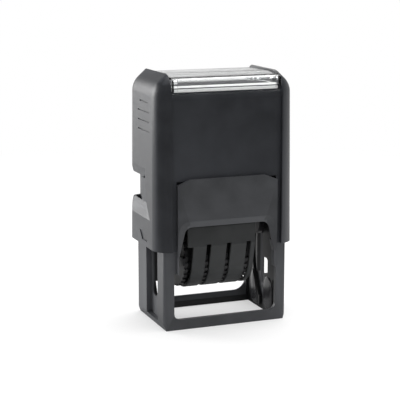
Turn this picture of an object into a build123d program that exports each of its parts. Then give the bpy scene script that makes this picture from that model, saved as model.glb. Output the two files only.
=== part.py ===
from build123d import *
import math
import os

# Self-inking date stamp, standing at rest with its cap up
# Millimetres, X to the right, Y to the back, Z up, origin on the table under the middle of the base

# Printing stroke and the printed field
press_travel = 24.2
plate_reach = 12.8
text_width = 40.0
text_depth = 24.0
text_thickness = 2.3
text_relief = 0.8
text_border_inset = 1.0
text_border_width = 0.8
text_bar_height = 1.4
text_bar_gap = 1.4
text_bar_pitch = 2.4
text_bar_shares = (0.75, 0.55)
pad_gap = 1.0
pad_thickness = 5.2
pad_margin = 0.1

# Ink tray
tray_wall = 0.8
tray_roof = 1.2
tray_gap = 0.3
tray_front_inset = 0.2
rail_depth = 1.0
flange_drop = 0.9

# Lower frame
guide_thickness = 2.0
upper_side_wall = 0.8
upper_wall = 1.2
deck_thickness = 1.2
channel_depth = 2.05
channel_front = 8.5
channel_back = 4.6
channel_floor = 2.5
frame_corner = 1.2
ring_wall = 1.75
ring_front_height = 4.0
ring_rear_height = 4.5
undercut_height = 2.6
undercut_depth = 1.0
rear_skin = 0.7
rear_corner = 5.0
front_corner = 2.5
front_hole_inset = 0.2
soffit_cover = 3.0
rear_wall_foot = 1.2
slot_width = 5.4
slot_end_gap = 0.4
stud_reach = 6.0
stud_diameter = 2.6
stud_length = 1.2
groove_gap = 0.3
groove_steps = 12
sight_front = 7.4
sight_low = 15.5
sight_high = 22.5
sight_corner = 1.2
rib_zone = 15.0
rib_depth = 1.0
front_rib = (-12.2, -3.6)
rear_rib = (0.4, 9.0)
rib_foot = 1.4
rib_round = 2.4

# Front shield with the arch
shield_inset = 0.9
shield_thickness = 1.4
shield_corner_width = 5.0
shield_corner_height = 2.0
shield_top_drop = 0.4
shield_foot_wall = 1.5
shield_foot_lap = 0.6
arch_rise = 3.0
arch_foot_drop = 12.0
arch_lean = 2.9
arch_corner = 3.0
arch_bevel = 2.5
arch_bevel_depth = 1.0
jamb_width = 0.7
jamb_end_z = 22.0

# Cap
cap_slide_gap = 0.85
cap_room = 0.5
cap_wall_side = 2.2
cap_wall_end = 2.0
cap_front_round = 7.0
cap_rear_round = 6.0
cap_draft = 0.6
cap_inner_corner = 2.5
cap_pressed_z = 6.8
cap_panel_thickness = 1.5
panel_edge_thickness = 0.7
panel_slide_gap = 0.2
panel_top_round = 3.0
cap_ceiling = 1.8
shield_gap = 1.9
shoulder_gap = 1.5
panel_gap = 0.8
cap_ridge_height = 5.1
cap_bevel_height = 5.0
cap_bevel_round = 7.6
cap_groove_count = 4
cap_groove_pitch = 3.6
cap_groove_drop = 6.0
cap_groove_length = 13.0
cap_groove_top_length = 9.4
cap_groove_shift = 1.2
cap_groove_height = 0.5
cap_groove_depth = 0.35
arrow_width = 11.7
arrow_foot_width = 5.8
arrow_height = 3.4
arrow_rise = 2.0
arrow_shift = 2.4
tongue_length = 12.5
tongue_gap = 0.6
tongue_slide_gap = 0.2

# Side scoop and lock button
scoop_top_rise = 30.6
scoop_open_height = 9.7
scoop_open_drop = 14.3
scoop_foot_drop = 20.1
scoop_step = 1.5
scoop_lip = 1.1
scoop_front = 2.5
scoop_flare = 0.7
scoop_foot_flare = 7.0
scoop_side_wall = 0.9
button_width = 6.4
button_thickness = 1.4
button_stroke = 1.2
button_stop_gap = 0.4
button_gap = 0.3

# Index window and card
window_wall = 0.8
window_side_gap = 0.4
window_seat_gap = 0.1
window_round = 2.5
window_shoulder = 3.9
window_crown = 4.5
lug_width = 2.0
lug_proud = 0.4
lug_drop = 0.8
lug_height = 4.4
card_thickness = 0.3
card_gap = 0.05
card_side_gap = 0.2

# Turning carriage
plate_thickness = 1.5
plate_margin = 0.6
plate_margin_depth = 0.1
date_gap = 0.2
date_hole_gap = 0.8
date_slot_gap = 0.5
carriage_side_gap = 0.6
cheek_thickness = 2.2
cheek_half_depth = 6.5
pivot_diameter = 5.0
pivot_gap = 0.05
pivot_end_gap = 0.2
pivot_boss = 10.8

# Date unit
wheel_count = 4
wheel_pitch = 8.25
wheel_first_x = -14.7
wheel_drop = 11.5
disc_radius = 12.0
disc_thickness = 1.2
disc_teeth = 30
tooth_depth = 0.7
drum_radius = 7.3
drum_width = 6.4
last_drum_width = 4.2
axle_diameter = 2.4
axle_gap = 0.05
band_thickness = 0.8
band_relief = 0.8
band_gap = 0.3
band_margin = 0.3
band_characters = 16
character_length = 2.4
bridge_radius = 1.7
bridge_height = 4.2
side_plate_thickness = 0.8
side_plate_gap = 0.2
side_plate_radius = 4.0
side_flange_width = 2.2
arm_reach = 12.4
arm_tip_half = 1.4
arm_root_half = 1.9
guard_gap = 0.6
guard_wall = 1.1
guard_slot = 1.7
guard_slot_drop = 4.8
guard_width = 25.6
guard_left_overhang = 2.2
guard_top_inset = 0.2
skirt_proud = 0.1
skirt_top_rise = 2.0
skirt_crease_drop = 5.5

# Return springs
spring_x = 13.0
spring_diameter = 8.0
spring_wire = 0.9
spring_turns = 6
spring_pressed = 7.6
spring_post = 5.0
spring_post_gap = 0.9
spring_seat_gap = 0.05
coil_points = 48

# How far a cut runs past the face it opens, and how far a joined shape laps into its neighbour
over = 1.0
lap = 0.5

# Places across the stamp
carriage_half = text_width / 2 + plate_margin
bay_half = carriage_half + carriage_side_gap
guide_out = bay_half + guide_thickness
upper_half_width = guide_out + upper_side_wall
frame_half_width = guide_out + channel_depth
cap_inner_x = frame_half_width + cap_slide_gap
cap_half_width = cap_inner_x + cap_wall_side
shield_half = bay_half - shield_inset
panel_half = shield_half + shield_gap
arch_foot_half = shield_half - jamb_width
arch_top_half = arch_foot_half - arch_lean
tongue_in_x = guide_out + tongue_slide_gap
side_plate_left = wheel_first_x - disc_thickness / 2 - side_plate_gap
last_wheel_x = wheel_first_x + (wheel_count - 1) * wheel_pitch
side_plate_right = last_wheel_x + disc_thickness / 2 + last_drum_width + side_plate_gap

# Places from front to back
plate_half_depth = text_depth / 2 + plate_margin_depth
pad_half_depth = text_depth / 2 + pad_margin
tray_half_depth = pad_half_depth + tray_wall
upper_inner_y = tray_half_depth + tray_gap
upper_half_depth = upper_inner_y + upper_wall
panel_in_y = upper_half_depth + cap_room
panel_out_y = panel_in_y + cap_panel_thickness
cap_half_depth = panel_out_y + shield_thickness + panel_slide_gap
cap_inner_y = cap_half_depth - cap_wall_end
frame_half_depth = cap_inner_y - cap_room
ring_inner_y = frame_half_depth - ring_wall
window_out_y = panel_out_y - window_seat_gap
window_in_y = window_out_y - window_wall
seat_y = window_in_y - card_thickness - 2 * card_gap
shield_back_y = cap_half_depth - shield_thickness
skirt_half_depth = upper_half_depth + skirt_proud
guard_radius = disc_radius + guard_gap
date_half_depth = bridge_radius + band_thickness + band_relief

# Places up the stamp
pivot_z = press_travel + plate_reach
pad_z = pivot_z + plate_reach + pad_gap
tray_z = pad_z + pad_thickness
deck_z = tray_z + tray_roof + tray_gap
deck_top = deck_z + deck_thickness
ceiling_z = deck_top + spring_pressed + press_travel
cap_deck_z = ceiling_z + cap_ceiling
cap_top_z = cap_deck_z + cap_ridge_height
cap_crease_z = cap_top_z - cap_bevel_height
cap_z = cap_pressed_z + press_travel
shoulder_z = cap_z + shoulder_gap
panel_z = shoulder_z + press_travel + panel_gap
soffit_z = pivot_z + arch_rise
shield_top_z = deck_top - shield_top_drop
rear_wall_z = pivot_z + plate_reach - rear_wall_foot
scoop_top_z = cap_z + scoop_top_rise
scoop_open_low = scoop_top_z - scoop_open_drop
scoop_open_top = scoop_open_low + scoop_open_height
scoop_foot_z = scoop_top_z - scoop_foot_drop

# Heights on the carriage, from its pivot
plate_top = plate_reach - text_thickness
plate_under = plate_top - plate_thickness
bridge_top = plate_reach - band_relief - band_thickness


def block(x_from, x_to, y_from, y_to, z_from, z_to):
    """A box between two corners."""
    middle = ((x_from + x_to) / 2, (y_from + y_to) / 2, (z_from + z_to) / 2)
    return Pos(*middle) * Box(x_to - x_from, y_to - y_from, z_to - z_from)


def centred_block(half_x, half_y, z_from, z_to):
    """A box round the upright middle line."""
    return block(-half_x, half_x, -half_y, half_y, z_from, z_to)


def side_prism(profile, x_from, x_to):
    """A profile drawn in Y and Z, carried along X."""
    return extrude(Plane.YZ.offset(x_from) * profile, x_to - x_from)


def front_prism(profile, y_from, y_to):
    """A profile drawn in X and Z, carried along Y."""
    return extrude(Plane.XZ.offset(-y_to) * profile, y_to - y_from)


def outline(*points):
    """A filled polygon."""
    return make_face(Polyline(*points, close=True))


def rod(x_from, x_to, y, z, diameter):
    """A round bar along X."""
    return side_prism(Pos(y, z) * Circle(diameter / 2), x_from, x_to)


def both_sides(shape):
    """A shape and its mirror image in the middle plane."""
    return shape + mirror(shape, Plane.YZ)


def at_pivot(shape):
    """Moves what is drawn round the pivot to its place at rest."""
    return Pos(0, 0, pivot_z) * shape


def save(shape, name, colour):
    """Writes one node."""
    solids = shape.solids()
    body = solids[0] if len(solids) == 1 else Compound(children=solids)
    body.label = name
    body.color = Color(*colour)
    export_step(body, f"parts/{name}.step")


def stud_place(turn):
    """Where the follower stud is in the frame after a share of the turn."""
    angle = math.pi * turn
    return (stud_reach * math.sin(angle), pivot_z - press_travel * turn + stud_reach * math.cos(angle))


def turning_groove():
    """The groove in one guide plate that turns the carriage as the cap goes down."""
    groove = None
    for step in range(groove_steps):
        start = stud_place(step / groove_steps)
        end = stud_place((step + 1) / groove_steps)
        stretch = SlotCenterPoint(
            center=((start[0] + end[0]) / 2, (start[1] + end[1]) / 2),
            point=end,
            height=stud_diameter + 2 * groove_gap,
        )
        groove = stretch if groove is None else groove + stretch
    return side_prism(groove, bay_half - over, bay_half + stud_length + groove_gap)


def pivot_slot():
    """The upright slot and the sight window through one guide plate."""
    low = plate_reach - pivot_diameter / 2 - slot_end_gap
    high = pivot_z + pivot_diameter / 2 + slot_end_gap
    upright = Pos(0, (low + high) / 2) * SlotOverall(high - low, slot_width, rotation=90)
    sight_width = sight_front + slot_width / 2
    sight_height = sight_high - sight_low
    sight_y = slot_width / 2 - sight_width / 2
    sight = RectangleRounded(sight_width, sight_height, sight_corner)
    sight = Pos(sight_y, sight_low + sight_height / 2) * sight
    return side_prism(upright + sight, bay_half - over, guide_out + over)


def leg_opening(half_width, foot_z, corner):
    """The outline of the opening between two legs, over the base ring."""
    top = shoulder_z + 2 * corner
    middle = Pos(0, (foot_z + top) / 2)
    return middle * RectangleRounded(2 * half_width, top - foot_z, corner)


def lower_legs():
    """The base ring and the side walls up to the shoulder."""
    plan = RectangleRounded(2 * frame_half_width, 2 * frame_half_depth, frame_corner)
    body = extrude(plan, shoulder_z)
    body -= centred_block(bay_half, ring_inner_y, -over, shoulder_z + over)
    front_hole = leg_opening(bay_half - front_hole_inset, ring_front_height, front_corner)
    body -= front_prism(front_hole, -frame_half_depth - over, 0)
    rear_hole = leg_opening(bay_half, ring_rear_height, rear_corner)
    body -= front_prism(rear_hole, 0, frame_half_depth + over)
    skin_y = frame_half_depth - rear_skin
    sweep_cut = outline(
        (ring_inner_y - over, ring_rear_height / 2),
        (ring_inner_y, ring_rear_height / 2),
        (skin_y, ring_rear_height),
        (skin_y, shoulder_z + over),
        (ring_inner_y - over, shoulder_z + over),
    )
    body -= side_prism(sweep_cut, -bay_half, bay_half)
    undercut = outline(
        (frame_half_width - undercut_depth, -over),
        (frame_half_width - undercut_depth, 0),
        (frame_half_width, undercut_height),
        (frame_half_width + over, undercut_height),
        (frame_half_width + over, -over),
    )
    body -= both_sides(front_prism(undercut, -frame_half_depth - over, frame_half_depth + over))
    return body


def foot_recess():
    """The shallow recess low on each inner side, which leaves two round-ended ribs."""
    recess = Pos(0, (rib_zone - over) / 2) * Rectangle(2 * ring_inner_y, rib_zone + over)
    for y_from, y_to in (front_rib, rear_rib):
        height = 2 * rib_zone
        middle = Pos((y_from + y_to) / 2, rib_foot + height / 2)
        recess -= middle * RectangleRounded(y_to - y_from, height, rib_round / 2)
    return both_sides(side_prism(recess, bay_half - over, bay_half + rib_depth))


def upper_box():
    """The narrower box above the shoulder, which holds the ink tray."""
    front = -upper_half_depth - over
    body = centred_block(upper_half_width, upper_half_depth, shoulder_z, deck_top)
    body -= centred_block(bay_half, upper_inner_y, shoulder_z - over, deck_z)
    body -= block(-bay_half, bay_half, front, 0, shoulder_z - over, soffit_z + soffit_cover)
    body -= block(-bay_half, bay_half, 0, upper_half_depth + over, shoulder_z - over, rear_wall_z)
    body -= block(-bay_half, bay_half, front, 0, pad_z - tray_front_inset, deck_z)
    return body


def tray_rails():
    """The grooves in the side walls that carry the tray's flanges."""
    low = tray_z - flange_drop - tray_gap
    rail = block(0, bay_half + rail_depth, -upper_half_depth - over, upper_inner_y, low, deck_z)
    return both_sides(rail)


def shield():
    """The front shield with its arch, carried by a foot on each front leg."""
    shoulder_half = shield_half - shield_corner_width
    corner_z = shield_top_z - shield_corner_height
    face = outline(
        (-shield_half, jamb_end_z),
        (shield_half, jamb_end_z),
        (shield_half, corner_z),
        (shoulder_half, shield_top_z),
        (-shoulder_half, shield_top_z),
        (-shield_half, corner_z),
    )
    front = -cap_half_depth
    body = front_prism(face, front, -shield_back_y)
    foot_in = arch_foot_half - shield_foot_wall
    neck_out = shield_half - panel_slide_gap
    foot_out = bay_half + shield_foot_lap
    back = -upper_half_depth
    foot = block(foot_in, neck_out, front, back, jamb_end_z, shoulder_z)
    foot += block(foot_in, foot_out, -frame_half_depth, back, jamb_end_z, shoulder_z)
    body += both_sides(foot)
    return body - arch_cut()


def arch_outline(grow):
    """The arch's edge, moved outward by a distance."""
    top = soffit_z + grow
    top_half = arch_top_half + grow
    foot_half = arch_foot_half + grow
    foot_z = soffit_z - arch_foot_drop - grow
    face = outline(
        (-foot_half, jamb_end_z - over),
        (-foot_half, foot_z),
        (-top_half, top),
        (top_half, top),
        (foot_half, foot_z),
        (foot_half, jamb_end_z - over),
    )
    corners = face.vertices().group_by(Axis.Y)[-1]
    return fillet(corners, arch_corner + grow / 2)


def arch_cut():
    """The arch right through the shield, with its wide bevel at the front."""
    through = front_prism(arch_outline(0), -cap_half_depth - over, -frame_half_depth / 2)
    front = Plane.XZ.offset(cap_half_depth) * arch_outline(arch_bevel)
    back = Plane.XZ.offset(cap_half_depth - arch_bevel_depth) * arch_outline(0)
    return through + loft([front, back])


def side_channels():
    """The outer channels that the cap's tongues slide in."""
    outside = frame_half_width + over
    top = deck_top + over
    return both_sides(block(guide_out, outside, -channel_front, channel_back, channel_floor, top))


def spring_posts():
    """Short posts on the deck that keep the springs upright."""
    radius = spring_diameter / 2 - spring_wire - spring_post_gap / 2
    post = Cylinder(radius, spring_post, align=(Align.CENTER, Align.CENTER, Align.MIN))
    return both_sides(Pos(spring_x, 0, deck_top) * post)


def make_lower_frame():
    """The whole lower housing as one moulding."""
    body = lower_legs() + upper_box()
    body -= side_channels()
    body -= both_sides(pivot_slot())
    body -= both_sides(turning_groove())
    body -= tray_rails()
    body -= foot_recess()
    body += shield()
    body += spring_posts()
    return body


def make_ink_tray():
    """The tray, open below, with a flange each side and a lip to pull it out by."""
    half_x = bay_half - tray_gap
    front = upper_half_depth - tray_front_inset
    top = tray_z + tray_roof
    body = block(-half_x, half_x, -front, tray_half_depth, pad_z, top)
    body -= centred_block(half_x - tray_wall, pad_half_depth, pad_z - over, tray_z)
    flange_out = bay_half + rail_depth - tray_gap
    flange = block(half_x - lap, flange_out, -tray_half_depth, tray_half_depth, tray_z - flange_drop, top)
    return body + both_sides(flange)


def make_ink_pad():
    """The felt pad, seated in the tray."""
    return centred_block(bay_half - tray_gap - tray_wall, pad_half_depth, pad_z, tray_z)


def cap_side_x(z):
    """How far out the cap's side face is at a height, as it leans in toward the top."""
    return cap_half_width - cap_draft * (z - cap_z) / (cap_crease_z - cap_z)


def cap_outside():
    """The cap's outer form: a bevelled front outline carried back, leaning in, with both rims rounded."""
    crease_half = cap_half_width - cap_draft
    bevel_slope = cap_bevel_height / (crease_half - panel_half)
    past_ridge = panel_half - cap_ridge_height
    peak_z = cap_top_z + bevel_slope * cap_ridge_height
    face = outline(
        (-cap_half_width, cap_z),
        (cap_half_width, cap_z),
        (crease_half, cap_crease_z),
        (past_ridge, peak_z),
        (-past_ridge, peak_z),
        (-crease_half, cap_crease_z),
    )
    creases = face.vertices().group_by(Axis.Y)[1]
    face = fillet(creases, cap_bevel_round)
    top_half_depth = cap_half_depth - cap_draft * (peak_z - cap_z) / (cap_crease_z - cap_z)
    lean = outline(
        (-cap_half_depth, cap_z),
        (cap_half_depth, cap_z),
        (top_half_depth, peak_z),
        (-top_half_depth, peak_z),
    )
    body = front_prism(face, -cap_half_depth, cap_half_depth)
    body &= side_prism(lean, -cap_half_width, cap_half_width)
    front_rim = body.faces().sort_by(Axis.Y)[0].edges().sort_by(Axis.Z)[1:]
    body = fillet(front_rim, cap_front_round)
    rear_rim = body.faces().sort_by(Axis.Y)[-1].edges().sort_by(Axis.Z)[1:]
    return fillet(rear_rim, cap_rear_round)


def cap_hollow():
    """The room inside the cap."""
    low = RectangleRounded(2 * cap_inner_x, 2 * cap_inner_y, cap_inner_corner)
    high = RectangleRounded(2 * cap_inner_x, 2 * panel_in_y, cap_inner_corner)
    room = extrude(Plane.XY.offset(cap_z - over) * low, panel_z - cap_z + over)
    return room + extrude(Plane.XY.offset(panel_z - over) * high, ceiling_z - panel_z + over)


def panel_cut():
    """What is cut from the front and the back between the cheeks, down to the two panels."""
    round_foot = (-panel_out_y, ceiling_z - panel_top_round)
    round_top = (-seat_y, ceiling_z)
    high = 2 * cap_top_z
    front = -cap_half_depth - over
    edge = Polyline(
        round_top,
        (-seat_y, cap_deck_z),
        (0, cap_deck_z),
        (0, high),
        (front, high),
        (front, 0),
        (0, 0),
        (0, panel_z),
        (-panel_out_y, panel_z),
        round_foot,
    )
    side = make_face([edge, TangentArc(round_foot, round_top, tangent=(0, 1))])
    front = side_prism(side, -panel_half, panel_half)
    return front + mirror(front, Plane.XZ)


def panel_edges():
    """The thin strips that carry the front panel's edges down beside the shield."""
    front = -panel_out_y
    back = front + panel_edge_thickness
    return both_sides(block(shield_half, panel_half + lap, front, back, cap_z, panel_z + lap))


def scoop_side(x, forward):
    """The scoop's outline from the side at one depth, with its front edge moved forward by a distance."""
    front = -scoop_front - forward
    foot_front = front - scoop_foot_flare
    low = scoop_foot_z - scoop_lip
    bend = ((front + foot_front) / 2 + scoop_foot_flare / 4, (scoop_open_top + low) / 2)
    back = cap_half_depth + over
    face = make_face(
        [
            Line((front, cap_top_z), (front, scoop_open_top)),
            ThreePointArc((front, scoop_open_top), bend, (foot_front, low)),
            Line((foot_front, low), (back, low)),
            Line((back, low), (back, cap_top_z)),
            Line((back, cap_top_z), (front, cap_top_z)),
        ]
    )
    return Plane.YZ.offset(x) * face


def scoop_cut():
    """The finger scoop at the right side, open to the rear edge."""
    out = cap_half_width
    inner = cap_inner_x + button_gap
    reach = panel_half + scoop_side_wall
    slope_top = (scoop_top_z - scoop_open_top) / (out - inner)
    step_z = scoop_open_low - scoop_step
    slope_low = (step_z - scoop_foot_z) / scoop_lip
    profile = outline(
        (out + over, scoop_top_z + slope_top * over),
        (inner, scoop_open_top),
        (reach, scoop_open_top),
        (reach, scoop_open_low),
        (inner, scoop_open_low),
        (out - scoop_lip, step_z),
        (out + over, scoop_foot_z - slope_low * over),
    )
    cut = front_prism(profile, -cap_half_depth, cap_half_depth + over)
    room = extrude(scoop_side(reach, 0), inner - reach)
    room += loft([scoop_side(inner, 0), scoop_side(out + over, scoop_flare)])
    return cut & room


def cap_side_marks():
    """Four short grooves high on the right side, and an arrow low on it."""
    out = cap_half_width + over
    low = cap_z + arrow_rise
    top = low + arrow_height
    arrow = outline(
        (-arrow_shift - arrow_foot_width / 2, low),
        (-arrow_shift + arrow_foot_width / 2, low),
        (-arrow_shift + arrow_width / 2, top),
        (-arrow_shift - arrow_width / 2, top),
    )
    marks = side_prism(arrow, cap_side_x(low) - cap_groove_depth, out)
    for index in range(cap_groove_count):
        z = cap_crease_z - cap_groove_drop - index * cap_groove_pitch
        length = cap_groove_top_length if index == 0 else cap_groove_length
        groove = Pos(-cap_groove_shift, z) * SlotOverall(length, cap_groove_height)
        marks += side_prism(groove, cap_side_x(z) - cap_groove_depth, out)
    return marks


def make_cap_shell():
    """The cap, with the tongues that carry the carriage's pivots."""
    body = cap_outside() - cap_hollow() - panel_cut() + panel_edges()
    tongue = block(
        tongue_in_x,
        cap_inner_x + lap,
        -channel_front + tongue_gap,
        channel_back - tongue_gap,
        pivot_z - tongue_length / 2,
        pivot_z + tongue_length / 2,
    )
    body += both_sides(tongue)
    hole = rod(tongue_in_x - over, cap_inner_x, 0, pivot_z, pivot_diameter + 2 * pivot_gap)
    body -= both_sides(hole)
    body -= both_sides(scoop_cut())
    body -= both_sides(cap_side_marks())
    return body


def make_lock_button(side):
    """One lock button, in the open part of its scoop."""
    inner = upper_half_width + button_stroke + button_stop_gap
    outer = inner + button_thickness
    front = -scoop_front + button_gap
    low = scoop_open_low + button_gap
    top = scoop_open_top - button_gap
    body = block(inner, outer, front, front + button_width, low, top)
    return body if side > 0 else mirror(body, Plane.YZ)


def window_profile(inset, foot):
    """The window's outline from the side, moved inward by a distance, from its foot over its crown."""
    half = window_out_y - inset
    shoulder_y = window_out_y - window_round
    shoulder_top = cap_deck_z + window_shoulder - inset
    crown_top = cap_deck_z + window_crown - inset
    corner = window_round - inset
    edge = shoulder_top - corner
    bow = corner * (1 - math.sqrt(0.5))
    return make_face(
        [
            Line((-half, foot), (-half, edge)),
            ThreePointArc((-half, edge), (-half + bow, shoulder_top - bow), (-shoulder_y, shoulder_top)),
            ThreePointArc((-shoulder_y, shoulder_top), (0, crown_top), (shoulder_y, shoulder_top)),
            ThreePointArc((shoulder_y, shoulder_top), (half - bow, shoulder_top - bow), (half, edge)),
            Line((half, edge), (half, foot)),
            Line((half, foot), (-half, foot)),
        ]
    )


def make_index_window():
    """The clear cover that clips over the cap's top, with a lug at each front corner."""
    half_x = panel_half - window_side_gap
    outer = side_prism(window_profile(0, ceiling_z), -half_x, half_x)
    inside = half_x - window_wall
    room = side_prism(window_profile(window_wall, ceiling_z - over), -inside, inside)
    seat = centred_block(half_x + over, window_in_y, ceiling_z - over, cap_deck_z)
    lug_z = ceiling_z + lug_drop
    front = -window_out_y
    lug = block(half_x - lug_width, half_x, front - lug_proud, front + lap, lug_z, lug_z + lug_height)
    return outer + both_sides(lug) - room - seat


def make_index_card():
    """The paper card on the cap's deck, with a fold down behind the window's front lip."""
    half_x = panel_half - window_side_gap - window_wall - card_side_gap
    front = seat_y + card_gap + card_thickness
    body = block(-half_x, half_x, -front, seat_y, cap_deck_z, cap_deck_z + card_thickness)
    return body + block(-half_x, half_x, -front, -seat_y - card_gap, ceiling_z + card_thickness, cap_deck_z)


def date_window(half_depth, z_from, z_to):
    """The hole for the date in the plates."""
    left = side_plate_left - date_gap
    right = side_plate_right + date_gap
    return block(left, right, -half_depth, half_depth, z_from, z_to)


def make_carriage_frame():
    """The carrier plate, its cheeks, pivots and follower studs."""
    body = centred_block(carriage_half, plate_half_depth, plate_under, plate_top)
    body -= date_window(date_half_depth + date_hole_gap, plate_under - over, plate_top + over)
    cheek_shape = outline(
        (-cheek_half_depth, plate_under),
        (cheek_half_depth, plate_under),
        (pivot_boss / 2, 0),
        (-pivot_boss / 2, 0),
    )
    cheek_shape += Circle(pivot_boss / 2)
    cheek_shape += Pos(0, stud_reach) * Circle(stud_diameter)
    cheek = side_prism(cheek_shape, carriage_half - cheek_thickness, carriage_half)
    cheek += rod(carriage_half - lap, cap_inner_x - pivot_end_gap, 0, 0, pivot_diameter)
    cheek += rod(carriage_half - lap, bay_half + stud_length, 0, stud_reach, stud_diameter)
    return at_pivot(body + both_sides(cheek))


def make_text_plate():
    """The rubber die: a base, a raised border and plain raised bars."""
    base_top = plate_reach - text_relief
    root = base_top - lap
    body = centred_block(text_width / 2, text_depth / 2, plate_top, base_top)
    border_x = text_width / 2 - text_border_inset
    border_y = text_depth / 2 - text_border_inset
    border = centred_block(border_x, border_y, root, plate_reach)
    inner_x = border_x - text_border_width
    inner_y = border_y - text_border_width
    border -= centred_block(inner_x, inner_y, plate_top, plate_reach)
    body += border
    hole_half = date_half_depth + date_slot_gap
    for row, share in enumerate(text_bar_shares):
        near = hole_half + text_bar_gap + row * text_bar_pitch
        half_x = text_width * share / 2
        for side in (-1, 1):
            near_y, far_y = sorted((side * near, side * (near + text_bar_height)))
            body += block(-half_x, half_x, near_y, far_y, root, plate_reach)
    body -= date_window(hole_half, plate_top - over, plate_reach + over)
    return at_pivot(body)


def guard_profile(inset):
    """The guard's outline from the side: a round trough with a skirt, moved inward by a distance."""
    radius = guard_radius - inset
    skirt_y = skirt_half_depth - inset
    top_y = plate_half_depth - guard_top_inset - inset
    top = plate_under + (over if inset else 0)
    crease_rise = wheel_drop - skirt_crease_drop
    reach = math.hypot(skirt_y, crease_rise)
    touch = math.acos(radius / reach) - math.atan2(crease_rise, skirt_y)
    touch_y = radius * math.cos(touch)
    touch_z = -wheel_drop - radius * math.sin(touch)
    front = [(-top_y, top), (-skirt_y, skirt_top_rise), (-skirt_y, -skirt_crease_drop), (-touch_y, touch_z)]
    back = [(-y, z) for y, z in reversed(front)]
    return make_face(
        [
            Polyline(*front),
            ThreePointArc(front[-1], (0, -wheel_drop - radius), back[0]),
            Polyline(*back),
            Line(back[-1], front[0]),
        ]
    )


def make_band_guard():
    """The guard round the back of the date unit, with a slot for each inner thumb wheel."""
    half = guard_width / 2
    left = -half - guard_left_overhang
    shell = side_prism(guard_profile(0), left, half)
    shell -= side_prism(guard_profile(guard_wall), left - over, half + over)
    deep = skirt_half_depth + over
    low = -wheel_drop - guard_radius - over
    shell -= block(left - over, -half, -deep, deep, low, -skirt_crease_drop)
    for index in range(1, wheel_count):
        x = wheel_first_x + index * wheel_pitch
        shell -= block(x - guard_slot / 2, x + guard_slot / 2, -deep, deep, low, -guard_slot_drop)
    return at_pivot(shell)


def drum_reach(index):
    """How far the drum of a wheel goes to the right of its disc."""
    return last_drum_width if index == wheel_count - 1 else drum_width


def make_date_wheel(index):
    """A thumb wheel: a toothed disc with the drum that drives its band."""
    x = wheel_first_x + index * wheel_pitch
    disc = Circle(disc_radius)
    notch_width = math.pi * disc_radius / disc_teeth
    for tooth in range(disc_teeth):
        notch = Pos(disc_radius, 0) * Rectangle(2 * tooth_depth, notch_width)
        disc -= Rot(0, 0, 360 * tooth / disc_teeth) * notch
    left = x - disc_thickness / 2
    right = x + disc_thickness / 2 + drum_reach(index)
    wheel = side_prism(disc, left, x + disc_thickness / 2)
    wheel += rod(x, right, 0, 0, 2 * drum_radius)
    wheel -= rod(left - over, right + over, 0, 0, axle_diameter + 2 * axle_gap)
    return at_pivot(Pos(0, 0, -wheel_drop) * wheel)


def make_wheel_axle():
    """The steel rod that carries the wheels."""
    left = side_plate_left - side_plate_thickness
    right = side_plate_right + side_plate_thickness
    return at_pivot(rod(left, right, 0, -wheel_drop, axle_diameter))


def make_side_plate(side):
    """A side plate, which holds the axle and an end of the bridge."""
    inner = side_plate_left if side < 0 else side_plate_right
    low_x, high_x = sorted((inner, inner + side * side_plate_thickness))
    shape = outline(
        (-side_plate_radius, -wheel_drop),
        (side_plate_radius, -wheel_drop),
        (side_plate_radius, plate_under),
        (-side_plate_radius, plate_under),
    )
    shape += Pos(0, -wheel_drop) * Circle(side_plate_radius)
    if side < 0:
        shape += outline(
            (-arm_reach, -wheel_drop - arm_tip_half),
            (0, -wheel_drop - arm_root_half),
            (0, -wheel_drop + arm_root_half),
            (-arm_reach, -wheel_drop + arm_tip_half),
        )
    shape -= Pos(0, -wheel_drop) * Circle(axle_diameter / 2)
    body = side_prism(shape, low_x, high_x)
    low_x, high_x = sorted((inner, inner + side * side_flange_width))
    flange_low = plate_under - side_plate_thickness
    body += block(low_x, high_x, -side_plate_radius, side_plate_radius, flange_low, plate_under)
    return at_pivot(body)


def make_band_bridge():
    """The bar that the bands run over, between the side plates."""
    round_z = bridge_top - bridge_radius
    low = bridge_top - bridge_height
    shape = Pos(0, round_z) * Circle(bridge_radius)
    shape += Pos(0, (round_z + low) / 2) * Rectangle(2 * bridge_radius, round_z - low)
    return at_pivot(side_prism(shape, side_plate_left, side_plate_right))


def band_loop(offset):
    """The band's run round the bridge and the drum, a distance out from them."""
    top_z = bridge_top - bridge_radius
    top_r = bridge_radius + offset
    low_z = -wheel_drop
    low_r = drum_radius + band_gap + offset
    lean = math.asin((low_r - top_r) / (top_z - low_z))
    top_y = top_r * math.cos(lean)
    top_side = top_z + top_r * math.sin(lean)
    low_y = low_r * math.cos(lean)
    low_side = low_z + low_r * math.sin(lean)
    return [
        Line((low_y, low_side), (top_y, top_side)),
        ThreePointArc((top_y, top_side), (0, top_z + top_r), (-top_y, top_side)),
        Line((-top_y, top_side), (-low_y, low_side)),
        ThreePointArc((-low_y, low_side), (0, low_z - low_r), (low_y, low_side)),
    ]


def make_date_band(index):
    """One endless band, with raised places for its characters."""
    x = wheel_first_x + index * wheel_pitch + disc_thickness / 2 + band_margin
    width = drum_reach(index) - 2 * band_margin
    ring = make_face(band_loop(band_thickness)) - make_face(band_loop(0))
    band = side_prism(ring, x, x + width)
    inside = make_face(band_loop(band_thickness / 2))
    path = Wire(band_loop(band_thickness))
    for step in range(band_characters):
        share = (step + 0.5) / band_characters
        place = path @ share
        along = path % share
        angle = math.degrees(math.atan2(along.Y, along.X))
        pad = Pos(place.X, place.Y) * Rot(0, 0, angle) * Rectangle(character_length, 2 * band_relief)
        band += side_prism(pad - inside, x + band_margin, x + width - band_margin)
    deep = guard_radius + over
    low = -wheel_drop - guard_radius - over
    band &= block(x - over, x + width + over, -deep, deep, low, plate_reach)
    return at_pivot(band)


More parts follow.
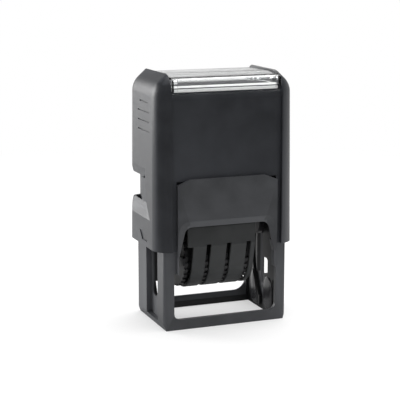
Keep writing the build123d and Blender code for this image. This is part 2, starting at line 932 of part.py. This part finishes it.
def helix_point(turns, radius, pitch):
    """A point of the spring's centre line and its direction there."""
    angle = 2 * math.pi * turns
    place = Vector(radius * math.cos(angle), radius * math.sin(angle), pitch * turns)
    heading = Vector(-radius * math.sin(angle), radius * math.cos(angle), pitch / (2 * math.pi))
    return place, heading.normalized()


def biarc(start, start_way, end, end_way):
    """Two arcs that join two points and keep to both directions."""
    chord = end - start
    closing = 2 * (1 - start_way.dot(end_way))
    along = chord.dot(start_way + end_way)
    reach = (math.sqrt(along**2 + closing * chord.dot(chord)) - along) / closing
    first = start + start_way * reach
    second = end - end_way * reach
    middle = (first + second) * 0.5
    return [
        TangentArc(start, middle, tangent=start_way),
        TangentArc(middle, end, tangent=(second - first).normalized()),
    ]


def make_return_spring(side):
    """One coil spring between the deck and the cap's ceiling."""
    radius = (spring_diameter - spring_wire) / 2
    low = deck_top + spring_wire / 2 + spring_seat_gap
    high = ceiling_z - spring_wire / 2 - spring_seat_gap
    pitch = (high - low) / spring_turns
    edges = []
    for quarter in range(4 * spring_turns):
        start, start_way = helix_point(quarter / 4, radius, pitch)
        end, end_way = helix_point((quarter + 1) / 4, radius, pitch)
        edges += biarc(start, start_way, end, end_way)
    start, way = helix_point(0, radius, pitch)
    section = Plane(origin=start, z_dir=way) * Circle(spring_wire / 2)
    coil = sweep(section, path=Wire(edges))
    return Pos(side * spring_x, 0, low) * coil, pitch


def least_coil_gap(pitch):
    """The least gap from one turn of the spring to the next, measured on points."""
    radius = (spring_diameter - spring_wire) / 2
    steps = range(coil_points * spring_turns + 1)
    points = [helix_point(step / coil_points, radius, pitch)[0] for step in steps]
    gaps = []
    for first in range(len(points)):
        for second in range(first + coil_points // 2, len(points)):
            gaps.append((points[first] - points[second]).length)
    return min(gaps) - spring_wire


charcoal = (0.10, 0.10, 0.11)
dark = (0.05, 0.05, 0.055)
clear = (0.85, 0.87, 0.88)
rubber = (0.30, 0.08, 0.07)
steel = (0.6, 0.6, 0.62)
paper = (0.92, 0.92, 0.9)


def main():
    """Makes every node."""
    os.makedirs("parts", exist_ok=True)
    save(make_lower_frame(), "lower_frame", charcoal)
    save(make_ink_tray(), "ink_tray", dark)
    save(make_ink_pad(), "ink_pad", dark)
    save(make_cap_shell(), "cap_shell", charcoal)
    save(make_index_window(), "index_window", clear)
    save(make_index_card(), "index_card", paper)
    save(make_carriage_frame(), "carriage_frame", dark)
    save(make_text_plate(), "text_plate", rubber)
    save(make_band_guard(), "band_guard", charcoal)
    save(make_band_bridge(), "band_bridge", dark)
    save(make_wheel_axle(), "wheel_axle", steel)
    for side, word in ((-1, "left"), (1, "right")):
        save(make_lock_button(side), f"lock_button_{word}", charcoal)
        save(make_side_plate(side), f"band_side_{word}", dark)
        spring, pitch = make_return_spring(side)
        save(spring, f"return_spring_{word}", steel)
    for index in range(wheel_count):
        save(make_date_wheel(index), f"date_wheel_{index + 1}", dark)
        save(make_date_band(index), f"date_band_{index + 1}", dark)
    print("least gap between spring turns", round(least_coil_gap(pitch), 2))


main()
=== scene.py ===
import bpy
import bmesh
import math
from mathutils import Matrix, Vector


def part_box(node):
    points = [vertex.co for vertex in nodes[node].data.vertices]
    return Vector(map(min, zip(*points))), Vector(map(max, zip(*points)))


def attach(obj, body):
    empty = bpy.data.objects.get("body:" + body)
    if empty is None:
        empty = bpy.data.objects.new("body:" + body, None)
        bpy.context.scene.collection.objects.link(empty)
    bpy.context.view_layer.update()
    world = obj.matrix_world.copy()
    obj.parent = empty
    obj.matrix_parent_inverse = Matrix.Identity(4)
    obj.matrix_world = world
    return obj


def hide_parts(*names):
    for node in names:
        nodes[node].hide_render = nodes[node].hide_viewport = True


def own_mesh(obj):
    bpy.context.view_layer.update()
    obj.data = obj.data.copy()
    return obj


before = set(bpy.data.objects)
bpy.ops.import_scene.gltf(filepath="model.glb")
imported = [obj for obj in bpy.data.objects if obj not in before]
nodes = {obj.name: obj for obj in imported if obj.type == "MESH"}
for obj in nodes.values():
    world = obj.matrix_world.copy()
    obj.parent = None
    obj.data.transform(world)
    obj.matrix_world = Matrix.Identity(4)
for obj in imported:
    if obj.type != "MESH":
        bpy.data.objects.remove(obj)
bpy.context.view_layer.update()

# Lengths are written in millimetres and multiplied by MM, because Blender works in metres
MM = 0.001


def new_material(name):
    """A material with its shader; the three results are the material, its node tree and the shader."""
    material = bpy.data.materials.new(name)
    material.use_nodes = True
    tree = material.node_tree
    shader = tree.nodes["Principled BSDF"]
    return material, tree, shader


def place_in_mm(tree):
    """Object coordinates in millimetres, as a vector output."""
    coordinates = tree.nodes.new("ShaderNodeTexCoord")
    scale = tree.nodes.new("ShaderNodeVectorMath")
    scale.operation = "SCALE"
    scale.inputs["Scale"].default_value = 1 / MM
    tree.links.new(coordinates.outputs["Object"], scale.inputs[0])
    return scale.outputs["Vector"]


def split(tree, vector):
    """The three parts of a vector output."""
    parts = tree.nodes.new("ShaderNodeSeparateXYZ")
    tree.links.new(vector, parts.inputs[0])
    return parts.outputs


def noise(tree, place, per_mm, detail=2.0, roughness=0.5):
    """Noise with so many lumps to the millimetre."""
    node = tree.nodes.new("ShaderNodeTexNoise")
    node.inputs["Scale"].default_value = per_mm
    node.inputs["Detail"].default_value = detail
    node.inputs["Roughness"].default_value = roughness
    tree.links.new(place, node.inputs["Vector"])
    return node.outputs["Fac"]


def remap(tree, value, low, high, to_low, to_high):
    """A value carried from one range to another and held inside it."""
    node = tree.nodes.new("ShaderNodeMapRange")
    node.inputs["From Min"].default_value = low
    node.inputs["From Max"].default_value = high
    node.inputs["To Min"].default_value = to_low
    node.inputs["To Max"].default_value = to_high
    tree.links.new(value, node.inputs["Value"])
    return node.outputs["Result"]


def held_between(tree, value, low, high):
    """A value that rises smoothly from 0 to 1 between two places."""
    node = tree.nodes.new("ShaderNodeMapRange")
    node.interpolation_type = "SMOOTHSTEP"
    node.inputs["From Min"].default_value = low
    node.inputs["From Max"].default_value = high
    tree.links.new(value, node.inputs["Value"])
    return node.outputs["Result"]


def maths(tree, operation, first, second):
    """One sum of two values, each a number or an output."""
    node = tree.nodes.new("ShaderNodeMath")
    node.operation = operation
    for socket, value in zip(node.inputs, (first, second)):
        if isinstance(value, (int, float)):
            socket.default_value = value
        else:
            tree.links.new(value, socket)
    return node.outputs[0]


def mix_values(tree, share, first, second):
    """A value between two, by a share."""
    node = tree.nodes.new("ShaderNodeMix")
    node.data_type = "FLOAT"
    tree.links.new(share, node.inputs["Factor"])
    for socket, value in ((node.inputs[2], first), (node.inputs[3], second)):
        if isinstance(value, (int, float)):
            socket.default_value = value
        else:
            tree.links.new(value, socket)
    return node.outputs[0]


def mix_colours(tree, share, first, second):
    """A colour between two, by a share."""
    node = tree.nodes.new("ShaderNodeMix")
    node.data_type = "RGBA"
    tree.links.new(share, node.inputs["Factor"])
    for socket, colour in ((node.inputs[6], first), (node.inputs[7], second)):
        if isinstance(colour, tuple):
            socket.default_value = (*colour, 1.0)
        else:
            tree.links.new(colour, socket)
    return node.outputs[2]


def bump(tree, height, depth_mm, normal=None):
    """A bump of a depth in millimetres, on top of another if one is given."""
    node = tree.nodes.new("ShaderNodeBump")
    node.inputs["Distance"].default_value = depth_mm * MM
    node.inputs["Strength"].default_value = 1.0
    tree.links.new(height, node.inputs["Height"])
    if normal is not None:
        tree.links.new(normal, node.inputs["Normal"])
    return node.outputs["Normal"]


def inside_share(tree, place, half_x, half_y):
    """1 within an upright box round the middle line and 0 outside it."""
    soft = 0.1
    parts = split(tree, place)
    share = 1.0
    for axis, half in (("X", half_x), ("Y", half_y)):
        off = held_between(tree, maths(tree, "ABSOLUTE", parts[axis], 0.0), half - soft, half + soft)
        share = maths(tree, "MULTIPLY", maths(tree, "SUBTRACT", 1.0, off), share)
    return share


def grained_plastic(name, colour, roughness, grain_mm=0.16, grain_depth=0.012, smooth_painted_shade_box=None):
    """Moulded plastic with a fine grain, mottling and worn edges; in the box it is smooth and without grain,
    and its colour is darkened there as painted shade.
    """
    inside_painted_shade = 0.25
    inside_roughness = 0.5
    material, tree, shader = new_material(name)
    place = place_in_mm(tree)
    mottle = noise(tree, place, 0.12, 3.0)
    grain = noise(tree, place, 1 / grain_mm, 1.0)
    lighter = tuple(min(1.0, c * 1.15) for c in colour)
    darker = tuple(c * 0.9 for c in colour)
    body = mix_colours(tree, remap(tree, mottle, 0.35, 0.65, 0.0, 1.0), darker, lighter)
    worn = tuple(min(1.0, c * 2.2 + 0.01) for c in colour)
    geometry = tree.nodes.new("ShaderNodeNewGeometry")
    edge = remap(tree, geometry.outputs["Pointiness"], 0.53, 0.62, 0.0, 0.35)
    body = mix_colours(tree, edge, body, worn)
    rough = remap(tree, mottle, 0.3, 0.7, roughness - 0.04, roughness + 0.04)
    if smooth_painted_shade_box:
        inside = inside_share(tree, place, *smooth_painted_shade_box)
        # painted shade: inside the box the colour is darkened to stand for the shade within the frame; only
        # the smooth, grainless finish there is the plastic's own
        body = mix_colours(tree, inside, body, tuple(c * inside_painted_shade for c in colour))
        rough = mix_values(tree, inside, rough, inside_roughness)
        grain = maths(tree, "MULTIPLY", grain, maths(tree, "SUBTRACT", 1.0, inside))
    tree.links.new(body, shader.inputs["Base Color"])
    tree.links.new(rough, shader.inputs["Roughness"])
    tree.links.new(bump(tree, grain, grain_depth), shader.inputs["Normal"])
    shader.inputs["IOR"].default_value = 1.5
    return material


def clear_plastic():
    """The window's clear plastic, with a slight ripple drawn out across it."""
    material, tree, shader = new_material("clear_plastic")
    drawn_out = tree.nodes.new("ShaderNodeVectorMath")
    drawn_out.operation = "MULTIPLY"
    drawn_out.inputs[1].default_value = (0.12, 1.0, 1.0)
    tree.links.new(place_in_mm(tree), drawn_out.inputs[0])
    ripple = noise(tree, drawn_out.outputs["Vector"], 0.16, 1.0)
    shader.inputs["Base Color"].default_value = (0.97, 0.98, 0.98, 1.0)
    shader.inputs["Transmission Weight"].default_value = 1.0
    shader.inputs["IOR"].default_value = 1.49
    tree.links.new(remap(tree, ripple, 0.3, 0.7, 0.02, 0.06), shader.inputs["Roughness"])
    tree.links.new(bump(tree, ripple, 0.22), shader.inputs["Normal"])
    return material


def card_stock():
    """The index card: white card whose top is coloured a plain dark field as painted shade under the window.
    """
    shaded_field_half = (19.8, 13.7)
    material, tree, shader = new_material("card_stock_painted_shade")
    place = place_in_mm(tree)
    fibre = noise(tree, place, 3.0, 4.0)
    white = mix_colours(tree, fibre, (0.90, 0.90, 0.89), (0.95, 0.95, 0.94))
    # painted shade: the dark field on the card's top stands for the shade under the window
    painted_shade_field = inside_share(tree, place, *shaded_field_half)
    painted_shade_colour = mix_colours(tree, fibre, (0.030, 0.030, 0.034), (0.045, 0.045, 0.050))
    tree.links.new(mix_colours(tree, painted_shade_field, white, painted_shade_colour), shader.inputs["Base Color"])
    tree.links.new(bump(tree, fibre, 0.02), shader.inputs["Normal"])
    shader.inputs["Roughness"].default_value = 0.6
    return material


def rubber(name, colour):
    """Moulded rubber, matt with a slight bloom."""
    material, tree, shader = new_material(name)
    place = place_in_mm(tree)
    bloom = noise(tree, place, 0.4, 4.0)
    pale = tuple(min(1.0, c * 1.4 + 0.01) for c in colour)
    tree.links.new(mix_colours(tree, bloom, colour, pale), shader.inputs["Base Color"])
    tree.links.new(remap(tree, bloom, 0.3, 0.7, 0.55, 0.75), shader.inputs["Roughness"])
    tree.links.new(bump(tree, noise(tree, place, 5.0, 2.0), 0.01), shader.inputs["Normal"])
    return material


def felt(name, colour):
    """Inked felt."""
    material, tree, shader = new_material(name)
    place = place_in_mm(tree)
    fibre = noise(tree, place, 4.0, 6.0, 0.7)
    pale = tuple(min(1.0, c * 1.8 + 0.01) for c in colour)
    tree.links.new(mix_colours(tree, fibre, colour, pale), shader.inputs["Base Color"])
    tree.links.new(bump(tree, fibre, 0.15), shader.inputs["Normal"])
    shader.inputs["Roughness"].default_value = 0.9
    return material


def steel(name):
    """Drawn steel wire and rod."""
    material, tree, shader = new_material(name)
    place = place_in_mm(tree)
    drawn = noise(tree, place, 2.0, 3.0)
    shader.inputs["Metallic"].default_value = 1.0
    colour = mix_colours(tree, drawn, (0.42, 0.42, 0.43), (0.58, 0.58, 0.59))
    tree.links.new(colour, shader.inputs["Base Color"])
    tree.links.new(remap(tree, drawn, 0.3, 0.7, 0.22, 0.38), shader.inputs["Roughness"])
    tree.links.new(bump(tree, drawn, 0.004), shader.inputs["Normal"])
    return material


def dress(node, material):
    """Gives a CAD node its material."""
    mesh = nodes[node].data
    mesh.materials.clear()
    mesh.materials.append(material)


def soften_edges(node, width_mm):
    """Rounds the moulded edges of a CAD node."""
    target = nodes[node]
    weld = target.modifiers.new("weld", "WELD")
    weld.merge_threshold = 0.002 * MM
    bevel = target.modifiers.new("bevel", "BEVEL")
    bevel.width = width_mm * MM
    bevel.segments = 2
    bevel.limit_method = "ANGLE"
    bevel.angle_limit = math.radians(35)
    bevel.harden_normals = True
    bevel.use_clamp_overlap = True


def mesh_object(name, points, faces, material, smooth=False):
    """A mesh piece from its points and faces."""
    mesh = bpy.data.meshes.new(name)
    mesh.from_pydata(points, [], faces)
    mesh.validate()
    shape = bmesh.new()
    shape.from_mesh(mesh)
    bmesh.ops.recalc_face_normals(shape, faces=shape.faces)
    for face in shape.faces:
        face.smooth = smooth
    shape.to_mesh(mesh)
    shape.free()
    mesh.materials.append(material)
    piece = bpy.data.objects.new(name, mesh)
    bpy.context.scene.collection.objects.link(piece)
    return piece


def make_index_card():
    """The index card: a sheet on the cap's deck, with a fold that stands behind the window's front."""
    low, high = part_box("index_card")
    sheet = 0.3 * MM
    rise = 0.4 * MM
    lean = 1.2 * MM
    height = high.z - low.z + rise

    def fold(z, thick=0.0):
        """A point of the fold's front, or behind it by the sheet, where the fold leans back as it rises."""
        return low.y + lean * ((z - low.z) / height) ** 2 + thick, z

    front_steps, top_steps, foot_steps = 8, 2, 4
    under = high.z - sheet
    below = under - low.z
    line = [fold(low.z + height * step / front_steps) for step in range(front_steps + 1)]
    line += [fold(high.z + rise * (top_steps - step) / top_steps, sheet) for step in range(top_steps + 1)]
    line += [(high.y, high.z), (high.y, under)]
    line += [fold(low.z + below * (foot_steps - step) / foot_steps, sheet) for step in range(foot_steps + 1)]
    count = len(line)
    points = [(x, y, z) for x in (low.x, high.x) for y, z in line]
    faces = [(i, (i + 1) % count, count + (i + 1) % count, count + i) for i in range(count)]
    faces += [tuple(range(count)), tuple(range(2 * count - 1, count - 1, -1))]
    card = mesh_object("index_card_folded", points, faces, card_stock())
    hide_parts("index_card")
    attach(card, "cap")


def rib_outline(width, foot, top):
    """A round-ended upright outline, as places across and up."""
    steps = 32
    radius = width / 2
    line = []
    for step in range(steps):
        angle = 2 * math.pi * (step + 0.5) / steps
        centre = top - radius if math.sin(angle) > 0 else foot + radius
        line.append((radius * math.cos(angle), centre + radius * math.sin(angle)))
    return line


def make_side_ribs():
    """The crowned faces of the two ribs low on each inner side, the rear ones clear of the carriage's pins."""
    wall = 21.2 * MM
    foot, top = 1.4 * MM, 15.4 * MM
    middle_z = (foot + top) / 2
    front_rib, rear_rib = (-12.2 * MM, -3.6 * MM), (0.4 * MM, 9.0 * MM)
    rear_middle = 5.4 * MM
    pin_clear = 1.9 * MM
    track_foot, track_slope = 6.5 * MM, 0.52
    crown = ((1.0, -0.1), (0.985, 0.08), (0.93, 0.2), (0.8, 0.32), (0.5, 0.41))
    points = []
    faces = []
    for side in (-1, 1):
        for front, back in (front_rib, rear_rib):
            centre = (front + back) / 2
            line = [(centre + y, z) for y, z in rib_outline(back - front, foot, top)]
            middle_y = centre
            if (front, back) == rear_rib:
                line = [(max(y, pin_clear + track_slope * max(0.0, z - track_foot)), z) for y, z in line]
                middle_y = rear_middle
            first = len(points)
            for share, rise in crown:
                for y, z in line:
                    up = middle_z + (z - middle_z) * (1 + share) / 2
                    points.append((side * (wall - rise * MM), middle_y + (y - middle_y) * share, up))
            count = len(line)
            rings = len(crown) - 1
            for ring in range(rings):
                for i in range(count):
                    a, b = first + ring * count + i, first + ring * count + (i + 1) % count
                    faces.append((a, b, b + count, a + count))
            faces.append(tuple(first + rings * count + i for i in range(count)))
            faces.append(tuple(first + i for i in range(count)))
    ribs = mesh_object("lower_frame_side_ribs", points, faces, shaded_rib_plastic, smooth=True)
    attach(ribs, "frame")


def make_return_spring(word):
    """A coil spring of round wire."""
    low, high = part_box(f"return_spring_{word}")
    wire_radius = 0.45 * MM
    turns, steps, round_steps = 6, 48, 12
    centre_x = (low.x + high.x) / 2
    radius = (high.x - low.x) / 2 - wire_radius
    foot = low.z + wire_radius
    rise = high.z - low.z - 2 * wire_radius
    slope = math.atan2(rise / turns, 2 * math.pi * radius)
    points = []
    for step in range(turns * steps + 1):
        angle = 2 * math.pi * step / steps
        out = Vector((math.cos(angle), math.sin(angle), 0))
        up = Vector((math.sin(angle) * math.sin(slope), -math.cos(angle) * math.sin(slope), math.cos(slope)))
        centre = Vector((centre_x, 0, foot + rise * step / (turns * steps))) + out * radius
        for part in range(round_steps):
            turn = 2 * math.pi * part / round_steps
            rim = out * wire_radius * math.cos(turn) + up * wire_radius * math.sin(turn)
            points.append(tuple(centre + rim))
    faces = []
    for ring in range(turns * steps):
        for part in range(round_steps):
            a, b = ring * round_steps + part, ring * round_steps + (part + 1) % round_steps
            faces.append((a, b, b + round_steps, a + round_steps))
    last = turns * steps * round_steps
    faces += [tuple(range(round_steps)), tuple(last + part for part in range(round_steps))]
    coil = mesh_object(f"return_spring_{word}_coil", points, faces, spring_steel, smooth=True)
    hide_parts(f"return_spring_{word}")
    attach(coil, "frame")
    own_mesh(coil)


# The studio: how bright matt light, mirrors and the floor are, and where the bright side lies
world_level = 0.66
mirror_dark = 0.08
mirror_bright = 0.80
floor_colour = 0.85
shadow_share = 0.55
shadow_fade = (180.0, 420.0)
bright_way = (0.5, 0.86)

cap_plastic = grained_plastic("cap_plastic_grained", (0.024, 0.026, 0.031), 0.40)
# the frame's inside is darkened by painted shade in its material, and is smooth there
frame_inside = (22.6, 13.85)
frame_plastic = grained_plastic("frame_plastic_grained", (0.048, 0.050, 0.055), 0.46, smooth_painted_shade_box=frame_inside)
# painted shade: the ribs are the frame's plastic, smooth, with a colour darker than the frame's to stand for
# the shade inside it
shaded_rib_plastic = grained_plastic("rib_plastic_smooth_painted_shade", (0.020, 0.020, 0.022), 0.24, grain_depth=0.002)
guard_plastic = grained_plastic("guard_plastic_grained", (0.034, 0.036, 0.037), 0.5)
inner_plastic = grained_plastic("inner_plastic_grained", (0.010, 0.010, 0.012), 0.4)
wheel_plastic = grained_plastic("wheel_plastic_grained", (0.010, 0.010, 0.011), 0.4)
band_rubber = rubber("band_rubber_black", (0.008, 0.008, 0.009))
plate_rubber = rubber("plate_rubber_red", (0.20, 0.04, 0.03))
pad_felt = felt("pad_felt_inked", (0.006, 0.006, 0.012))
spring_steel = steel("spring_steel_wire")

dress("cap_shell", cap_plastic)
dress("lock_button_left", cap_plastic)
dress("lock_button_right", cap_plastic)
dress("lower_frame", frame_plastic)
dress("band_guard", guard_plastic)
for name in ("ink_tray", "carriage_frame", "band_bridge", "band_side_left", "band_side_right"):
    dress(name, inner_plastic)
for index in range(1, 5):
    dress(f"date_wheel_{index}", wheel_plastic)
    dress(f"date_band_{index}", band_rubber)
dress("text_plate", plate_rubber)
dress("ink_pad", pad_felt)
dress("wheel_axle", spring_steel)
dress("return_spring_left", spring_steel)
dress("return_spring_right", spring_steel)
dress("index_window", clear_plastic())
nodes["index_window"].visible_shadow = False

soften_edges("cap_shell", 0.35)
soften_edges("lower_frame", 0.25)
soften_edges("band_guard", 0.25)
make_index_card()
make_side_ribs()
make_return_spring("left")
make_return_spring("right")


def toward_light(tree, kind):
    """How far a place or direction lies toward the bright side of the studio, and its parts."""
    coordinates = tree.nodes.new("ShaderNodeTexCoord")
    parts = split(tree, coordinates.outputs[kind])
    across = maths(tree, "MULTIPLY", parts["X"], bright_way[0])
    back = maths(tree, "MULTIPLY", parts["Y"], bright_way[1])
    return maths(tree, "ADD", across, back), parts


def bent_ray(tree, path):
    """1 for a mirrored or refracted ray that hasn't met a matt surface yet."""
    bent = maths(tree, "MAXIMUM", path.outputs["Is Glossy Ray"], path.outputs["Is Transmission Ray"])
    return maths(tree, "MULTIPLY", bent, maths(tree, "LESS_THAN", path.outputs["Diffuse Depth"], 0.5))


def make_floor():
    """A white floor that keeps the object's soft shadow and is plain white further out."""
    floor_half = 3.0
    mesh = bpy.data.meshes.new("floor")
    shape = bmesh.new()
    bmesh.ops.create_grid(shape, x_segments=1, y_segments=1, size=floor_half)
    shape.to_mesh(mesh)
    shape.free()
    floor = bpy.data.objects.new("floor", mesh)
    bpy.context.scene.collection.objects.link(floor)
    material, tree, shader = new_material("floor_white")
    path = tree.nodes.new("ShaderNodeLightPath")
    bright = held_between(tree, toward_light(tree, "Object")[0], -0.08, 0.0)
    in_mirror = maths(tree, "MULTIPLY", mix_values(tree, bright, mirror_dark, mirror_bright), floor_colour)
    matt = mix_values(tree, bent_ray(tree, path), floor_colour, in_mirror)
    distance = tree.nodes.new("ShaderNodeVectorMath")
    distance.operation = "LENGTH"
    tree.links.new(place_in_mm(tree), distance.inputs[0])
    far = held_between(tree, distance.outputs["Value"], *shadow_fade)
    shade = mix_values(tree, far, shadow_share, 0.0)
    seen = path.outputs["Is Camera Ray"]
    tree.links.new(mix_values(tree, seen, matt, shade), shader.inputs["Base Color"])
    glow = maths(tree, "MULTIPLY", seen, maths(tree, "SUBTRACT", 1.0, shade))
    shader.inputs["Specular IOR Level"].default_value = 0.0
    shader.inputs["Roughness"].default_value = 1.0
    shader.inputs["Emission Color"].default_value = (1, 1, 1, 1)
    tree.links.new(glow, shader.inputs["Emission Strength"])
    mesh.materials.append(material)


def make_world():
    """White where it is seen, a plain level on matt surfaces, and in mirrors dark in front and overhead."""
    world = bpy.data.worlds.new("studio")
    bpy.context.scene.world = world
    world.use_nodes = True
    tree = world.node_tree
    tree.nodes.clear()
    path = tree.nodes.new("ShaderNodeLightPath")
    bent = bent_ray(tree, path)
    way, parts = toward_light(tree, "Generated")
    bright = held_between(tree, way, -0.1, 0.35)
    low = maths(tree, "SUBTRACT", 1.0, held_between(tree, parts["Z"], 0.24, 0.45))
    in_mirror = mix_values(tree, maths(tree, "MULTIPLY", bright, low), mirror_dark, mirror_bright)
    level = mix_values(tree, bent, world_level, in_mirror)
    background = tree.nodes.new("ShaderNodeBackground")
    background.inputs["Color"].default_value = (1, 1, 1, 1)
    tree.links.new(mix_values(tree, path.outputs["Is Camera Ray"], level, 1.0), background.inputs["Strength"])
    output = tree.nodes.new("ShaderNodeOutputWorld")
    tree.links.new(background.outputs[0], output.inputs["Surface"])


def area_light(name, place, aim, size, power):
    """A soft square lamp."""
    data = bpy.data.lights.new(name, "AREA")
    data.shape = "SQUARE"
    data.size = size
    data.energy = power
    lamp = bpy.data.objects.new(name, data)
    bpy.context.scene.collection.objects.link(lamp)
    lamp.location = place
    lamp.rotation_mode = "QUATERNION"
    lamp.rotation_quaternion = (Vector(aim) - Vector(place)).to_track_quat("-Z", "Y")


def make_camera():
    """The photograph's camera: a long lens a little above and to the left."""
    place = (-0.1782, -0.4463, 0.1425)
    down, right = 11.32, 21.26
    data = bpy.data.cameras.new("camera")
    data.lens = 112.9
    data.sensor_width = 36.0
    camera = bpy.data.objects.new("camera", data)
    bpy.context.scene.collection.objects.link(camera)
    camera.location = place
    camera.rotation_euler = (math.radians(90 - down), 0, math.radians(-right))
    bpy.context.scene.camera = camera


make_floor()
make_world()
middle = (0, 0, 0.05)
area_light("key", place=(0.25, 0.12, 0.95), aim=middle, size=1.0, power=8.0)
area_light("rim", place=(-0.7, 0.8, 0.22), aim=middle, size=0.6, power=8.0)
make_camera()

bpy.context.scene.view_settings.view_transform = "Standard"
